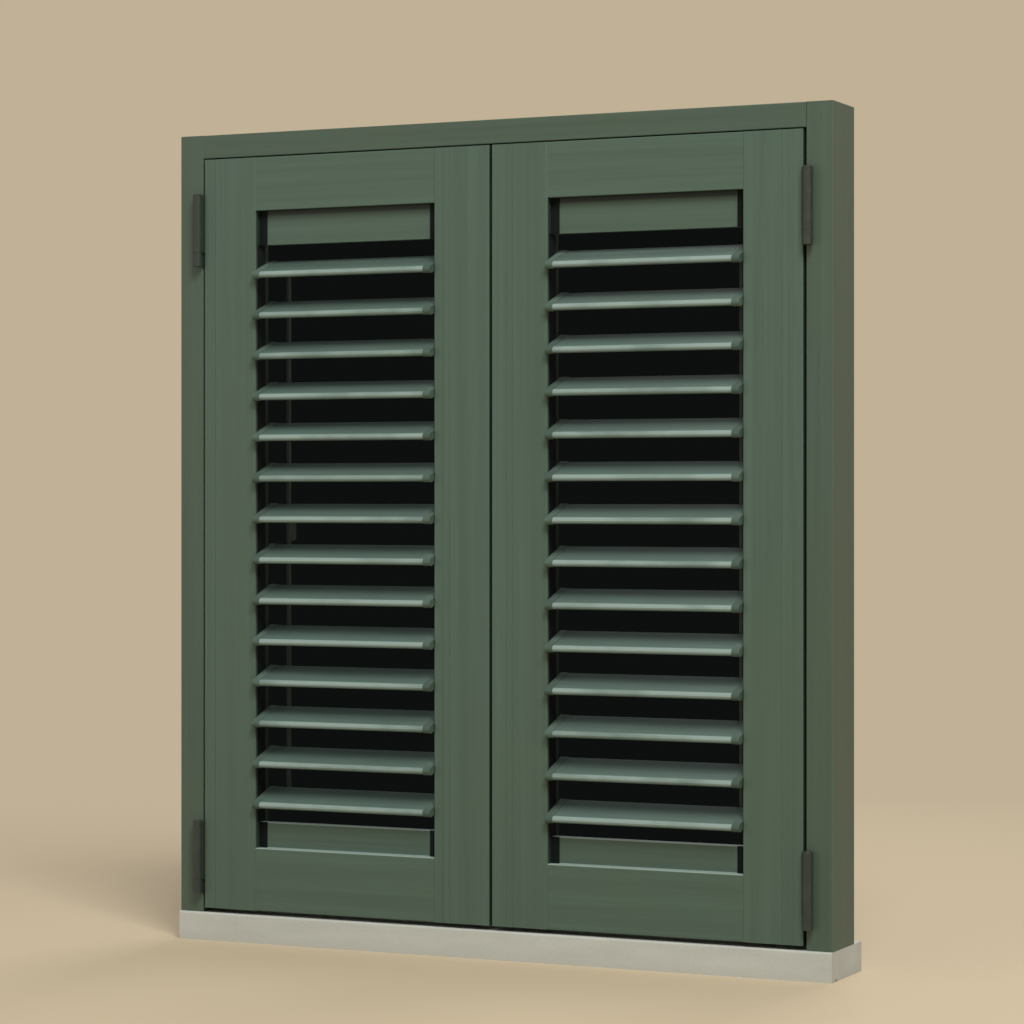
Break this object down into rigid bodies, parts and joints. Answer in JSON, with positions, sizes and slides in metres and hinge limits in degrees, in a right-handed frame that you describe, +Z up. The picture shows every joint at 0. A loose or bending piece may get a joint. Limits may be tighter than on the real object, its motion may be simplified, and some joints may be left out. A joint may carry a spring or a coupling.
{
  "type": "louvred shutters",
  "caption": "Pair of louvred shutter leaves in a frame on a sill, with slats that tilt together on a rod behind them.",
  "frame": {"origin": "middle of the sill's underside", "axes": "+X to the right seen from outside, +Y from the outside face to the room, +Z up"},
  "size_m": [1.065, 0.141, 1.243],
  "materials": {
    "frame_paint": "green paint on timber, satin, brushed on",
    "leaf_paint": "green paint on timber, satin, brushed on",
    "slat_paint": "green paint, satin, weathered pale on the noses",
    "sill_stone": "pale honed stone",
    "hinge_paint": "dark green paint on steel",
    "bolt_steel": "dark painted steel",
    "carrier_plastic": "black nylon",
    "rod_metal": "dull aluminium"
  },
  "bodies": {
    "frame": {"jamb_left": "frame_paint", "jamb_right": "frame_paint", "head": "frame_paint", "sill": "sill_stone", "bolt_keepers": "bolt_steel", "hinge_pintles_left": "hinge_paint", "hinge_pintles_right": "hinge_paint"},
    "leaf_left": {"hinge_stile_left": "leaf_paint", "meeting_stile_left": "leaf_paint", "top_rail_left": "leaf_paint", "bottom_rail_left": "leaf_paint", "top_board_left": "leaf_paint", "bottom_board_left": "leaf_paint", "slat_carriers_left": "carrier_plastic", "hinge_straps_left": "hinge_paint", "bolt_guides": "bolt_steel", "catch_keeper": "bolt_steel"},
    "leaf_right": {"hinge_stile_right": "leaf_paint", "meeting_stile_right": "leaf_paint", "top_rail_right": "leaf_paint", "bottom_rail_right": "leaf_paint", "top_board_right": "leaf_paint", "bottom_board_right": "leaf_paint", "slat_carriers_right": "carrier_plastic", "hinge_straps_right": "hinge_paint"},
    "top_bolt": {"top_bolt": "bolt_steel"},
    "bottom_bolt": {"bottom_bolt": "bolt_steel"},
    "turn_catch": {"turn_catch": "bolt_steel"},
    "slat_left_01": {"slat_left_01": "slat_paint"},
    "slat_left_02": {"slat_left_02": "slat_paint"},
    "slat_left_03": {"slat_left_03": "slat_paint"},
    "slat_left_04": {"slat_left_04": "slat_paint"},
    "slat_left_05": {"slat_left_05": "slat_paint"},
    "slat_left_06": {"slat_left_06": "slat_paint"},
    "slat_left_07": {"slat_left_07": "slat_paint"},
    "slat_left_08": {"slat_left_08": "slat_paint"},
    "slat_left_09": {"slat_left_09": "slat_paint"},
    "slat_left_10": {"slat_left_10": "slat_paint"},
    "slat_left_11": {"slat_left_11": "slat_paint"},
    "slat_left_12": {"slat_left_12": "slat_paint"},
    "slat_left_13": {"slat_left_13": "slat_paint"},
    "slat_left_14": {"slat_left_14": "slat_paint"},
    "tilt_rod_left": {"tilt_rod_left": "rod_metal"},
    "slat_right_01": {"slat_right_01": "slat_paint"},
    "slat_right_02": {"slat_right_02": "slat_paint"},
    "slat_right_03": {"slat_right_03": "slat_paint"},
    "slat_right_04": {"slat_right_04": "slat_paint"},
    "slat_right_05": {"slat_right_05": "slat_paint"},
    "slat_right_06": {"slat_right_06": "slat_paint"},
    "slat_right_07": {"slat_right_07": "slat_paint"},
    "slat_right_08": {"slat_right_08": "slat_paint"},
    "slat_right_09": {"slat_right_09": "slat_paint"},
    "slat_right_10": {"slat_right_10": "slat_paint"},
    "slat_right_11": {"slat_right_11": "slat_paint"},
    "slat_right_12": {"slat_right_12": "slat_paint"},
    "slat_right_13": {"slat_right_13": "slat_paint"},
    "slat_right_14": {"slat_right_14": "slat_paint"},
    "tilt_rod_right": {"tilt_rod_right": "rod_metal"}
  },
  "joints": [
    {"name": "leaf_left_swing", "type": "hinge", "parent": "frame", "child": "leaf_left", "pos_m": [-0.4975, -0.0685, 0.643], "axis": [0, 0, -1], "range_deg": [0, 175]},
    {"name": "leaf_right_swing", "type": "hinge", "parent": "frame", "child": "leaf_right", "pos_m": [0.4975, -0.0685, 0.643], "axis": [0, 0, 1], "range_deg": [0, 175]},
    {"name": "slats_left_tilt", "type": "hinge", "parent": "leaf_left", "child": "slat_left_01", "pos_m": [-0.2455, -0.044, 1.0336], "axis": [1, 0, 0], "range_deg": [-20, 56]},
    {"name": "slat_left_02_tilt", "type": "hinge", "parent": "leaf_left", "child": "slat_left_02", "pos_m": [-0.2455, -0.044, 0.9712], "axis": [1, 0, 0], "range_deg": [-20, 56]},
    {"name": "slat_left_03_tilt", "type": "hinge", "parent": "leaf_left", "child": "slat_left_03", "pos_m": [-0.2455, -0.044, 0.9088], "axis": [1, 0, 0], "range_deg": [-20, 56]},
    {"name": "slat_left_04_tilt", "type": "hinge", "parent": "leaf_left", "child": "slat_left_04", "pos_m": [-0.2455, -0.044, 0.8464], "axis": [1, 0, 0], "range_deg": [-20, 56]},
    {"name": "slat_left_05_tilt", "type": "hinge", "parent": "leaf_left", "child": "slat_left_05", "pos_m": [-0.2455, -0.044, 0.784], "axis": [1, 0, 0], "range_deg": [-20, 56]},
    {"name": "slat_left_06_tilt", "type": "hinge", "parent": "leaf_left", "child": "slat_left_06", "pos_m": [-0.2455, -0.044, 0.7216], "axis": [1, 0, 0], "range_deg": [-20, 56]},
    {"name": "slat_left_07_tilt", "type": "hinge", "parent": "leaf_left", "child": "slat_left_07", "pos_m": [-0.2455, -0.044, 0.6592], "axis": [1, 0, 0], "range_deg": [-20, 56]},
    {"name": "slat_left_08_tilt", "type": "hinge", "parent": "leaf_left", "child": "slat_left_08", "pos_m": [-0.2455, -0.044, 0.5968], "axis": [1, 0, 0], "range_deg": [-20, 56]},
    {"name": "slat_left_09_tilt", "type": "hinge", "parent": "leaf_left", "child": "slat_left_09", "pos_m": [-0.2455, -0.044, 0.5344], "axis": [1, 0, 0], "range_deg": [-20, 56]},
    {"name": "slat_left_10_tilt", "type": "hinge", "parent": "leaf_left", "child": "slat_left_10", "pos_m": [-0.2455, -0.044, 0.472], "axis": [1, 0, 0], "range_deg": [-20, 56]},
    {"name": "slat_left_11_tilt", "type": "hinge", "parent": "leaf_left", "child": "slat_left_11", "pos_m": [-0.2455, -0.044, 0.4096], "axis": [1, 0, 0], "range_deg": [-20, 56]},
    {"name": "slat_left_12_tilt", "type": "hinge", "parent": "leaf_left", "child": "slat_left_12", "pos_m": [-0.2455, -0.044, 0.3472], "axis": [1, 0, 0], "range_deg": [-20, 56]},
    {"name": "slat_left_13_tilt", "type": "hinge", "parent": "leaf_left", "child": "slat_left_13", "pos_m": [-0.2455, -0.044, 0.2848], "axis": [1, 0, 0], "range_deg": [-20, 56]},
    {"name": "slat_left_14_tilt", "type": "hinge", "parent": "leaf_left", "child": "slat_left_14", "pos_m": [-0.2455, -0.044, 0.2224], "axis": [1, 0, 0], "range_deg": [-20, 56]},
    {"name": "tilt_rod_left_link", "type": "hinge", "parent": "slat_left_01", "child": "tilt_rod_left", "pos_m": [-0.3735, -0.00239, 1.03917], "axis": [1, 0, 0], "range_deg": [-56, 20]},
    {"name": "slats_right_tilt", "type": "hinge", "parent": "leaf_right", "child": "slat_right_01", "pos_m": [0.2455, -0.044, 1.0336], "axis": [1, 0, 0], "range_deg": [-20, 56]},
    {"name": "slat_right_02_tilt", "type": "hinge", "parent": "leaf_right", "child": "slat_right_02", "pos_m": [0.2455, -0.044, 0.9712], "axis": [1, 0, 0], "range_deg": [-20, 56]},
    {"name": "slat_right_03_tilt", "type": "hinge", "parent": "leaf_right", "child": "slat_right_03", "pos_m": [0.2455, -0.044, 0.9088], "axis": [1, 0, 0], "range_deg": [-20, 56]},
    {"name": "slat_right_04_tilt", "type": "hinge", "parent": "leaf_right", "child": "slat_right_04", "pos_m": [0.2455, -0.044, 0.8464], "axis": [1, 0, 0], "range_deg": [-20, 56]},
    {"name": "slat_right_05_tilt", "type": "hinge", "parent": "leaf_right", "child": "slat_right_05", "pos_m": [0.2455, -0.044, 0.784], "axis": [1, 0, 0], "range_deg": [-20, 56]},
    {"name": "slat_right_06_tilt", "type": "hinge", "parent": "leaf_right", "child": "slat_right_06", "pos_m": [0.2455, -0.044, 0.7216], "axis": [1, 0, 0], "range_deg": [-20, 56]},
    {"name": "slat_right_07_tilt", "type": "hinge", "parent": "leaf_right", "child": "slat_right_07", "pos_m": [0.2455, -0.044, 0.6592], "axis": [1, 0, 0], "range_deg": [-20, 56]},
    {"name": "slat_right_08_tilt", "type": "hinge", "parent": "leaf_right", "child": "slat_right_08", "pos_m": [0.2455, -0.044, 0.5968], "axis": [1, 0, 0], "range_deg": [-20, 56]},
    {"name": "slat_right_09_tilt", "type": "hinge", "parent": "leaf_right", "child": "slat_right_09", "pos_m": [0.2455, -0.044, 0.5344], "axis": [1, 0, 0], "range_deg": [-20, 56]},
    {"name": "slat_right_10_tilt", "type": "hinge", "parent": "leaf_right", "child": "slat_right_10", "pos_m": [0.2455, -0.044, 0.472], "axis": [1, 0, 0], "range_deg": [-20, 56]},
    {"name": "slat_right_11_tilt", "type": "hinge", "parent": "leaf_right", "child": "slat_right_11", "pos_m": [0.2455, -0.044, 0.4096], "axis": [1, 0, 0], "range_deg": [-20, 56]},
    {"name": "slat_right_12_tilt", "type": "hinge", "parent": "leaf_right", "child": "slat_right_12", "pos_m": [0.2455, -0.044, 0.3472], "axis": [1, 0, 0], "range_deg": [-20, 56]},
    {"name": "slat_right_13_tilt", "type": "hinge", "parent": "leaf_right", "child": "slat_right_13", "pos_m": [0.2455, -0.044, 0.2848], "axis": [1, 0, 0], "range_deg": [-20, 56]},
    {"name": "slat_right_14_tilt", "type": "hinge", "parent": "leaf_right", "child": "slat_right_14", "pos_m": [0.2455, -0.044, 0.2224], "axis": [1, 0, 0], "range_deg": [-20, 56]},
    {"name": "tilt_rod_right_link", "type": "hinge", "parent": "slat_right_01", "child": "tilt_rod_right", "pos_m": [0.3735, -0.00239, 1.03917], "axis": [1, 0, 0], "range_deg": [-56, 20]},
    {"name": "top_bolt_slide", "type": "slide", "parent": "leaf_left", "child": "top_bolt", "axis": [0, 0, 1], "range_m": [0, 0.02]},
    {"name": "bottom_bolt_slide", "type": "slide", "parent": "leaf_left", "child": "bottom_bolt", "axis": [0, 0, -1], "range_m": [0, 0.02]},
    {"name": "turn_catch_turn", "type": "hinge", "parent": "leaf_right", "child": "turn_catch", "pos_m": [0.0265, -0.023, 0.56], "axis": [0, -1, 0], "range_deg": [0, 90]}
  ],
  "couplings": [
    {"joint": "slat_left_02_tilt", "follows": "slats_left_tilt", "ratio": 1},
    {"joint": "slat_left_03_tilt", "follows": "slats_left_tilt", "ratio": 1},
    {"joint": "slat_left_04_tilt", "follows": "slats_left_tilt", "ratio": 1},
    {"joint": "slat_left_05_tilt", "follows": "slats_left_tilt", "ratio": 1},
    {"joint": "slat_left_06_tilt", "follows": "slats_left_tilt", "ratio": 1},
    {"joint": "slat_left_07_tilt", "follows": "slats_left_tilt", "ratio": 1},
    {"joint": "slat_left_08_tilt", "follows": "slats_left_tilt", "ratio": 1},
    {"joint": "slat_left_09_tilt", "follows": "slats_left_tilt", "ratio": 1},
    {"joint": "slat_left_10_tilt", "follows": "slats_left_tilt", "ratio": 1},
    {"joint": "slat_left_11_tilt", "follows": "slats_left_tilt", "ratio": 1},
    {"joint": "slat_left_12_tilt", "follows": "slats_left_tilt", "ratio": 1},
    {"joint": "slat_left_13_tilt", "follows": "slats_left_tilt", "ratio": 1},
    {"joint": "slat_left_14_tilt", "follows": "slats_left_tilt", "ratio": 1},
    {"joint": "tilt_rod_left_link", "follows": "slats_left_tilt", "ratio": -1},
    {"joint": "slat_right_02_tilt", "follows": "slats_right_tilt", "ratio": 1},
    {"joint": "slat_right_03_tilt", "follows": "slats_right_tilt", "ratio": 1},
    {"joint": "slat_right_04_tilt", "follows": "slats_right_tilt", "ratio": 1},
    {"joint": "slat_right_05_tilt", "follows": "slats_right_tilt", "ratio": 1},
    {"joint": "slat_right_06_tilt", "follows": "slats_right_tilt", "ratio": 1},
    {"joint": "slat_right_07_tilt", "follows": "slats_right_tilt", "ratio": 1},
    {"joint": "slat_right_08_tilt", "follows": "slats_right_tilt", "ratio": 1},
    {"joint": "slat_right_09_tilt", "follows": "slats_right_tilt", "ratio": 1},
    {"joint": "slat_right_10_tilt", "follows": "slats_right_tilt", "ratio": 1},
    {"joint": "slat_right_11_tilt", "follows": "slats_right_tilt", "ratio": 1},
    {"joint": "slat_right_12_tilt", "follows": "slats_right_tilt", "ratio": 1},
    {"joint": "slat_right_13_tilt", "follows": "slats_right_tilt", "ratio": 1},
    {"joint": "slat_right_14_tilt", "follows": "slats_right_tilt", "ratio": 1},
    {"joint": "tilt_rod_right_link", "follows": "slats_right_tilt", "ratio": -1}
  ]
}
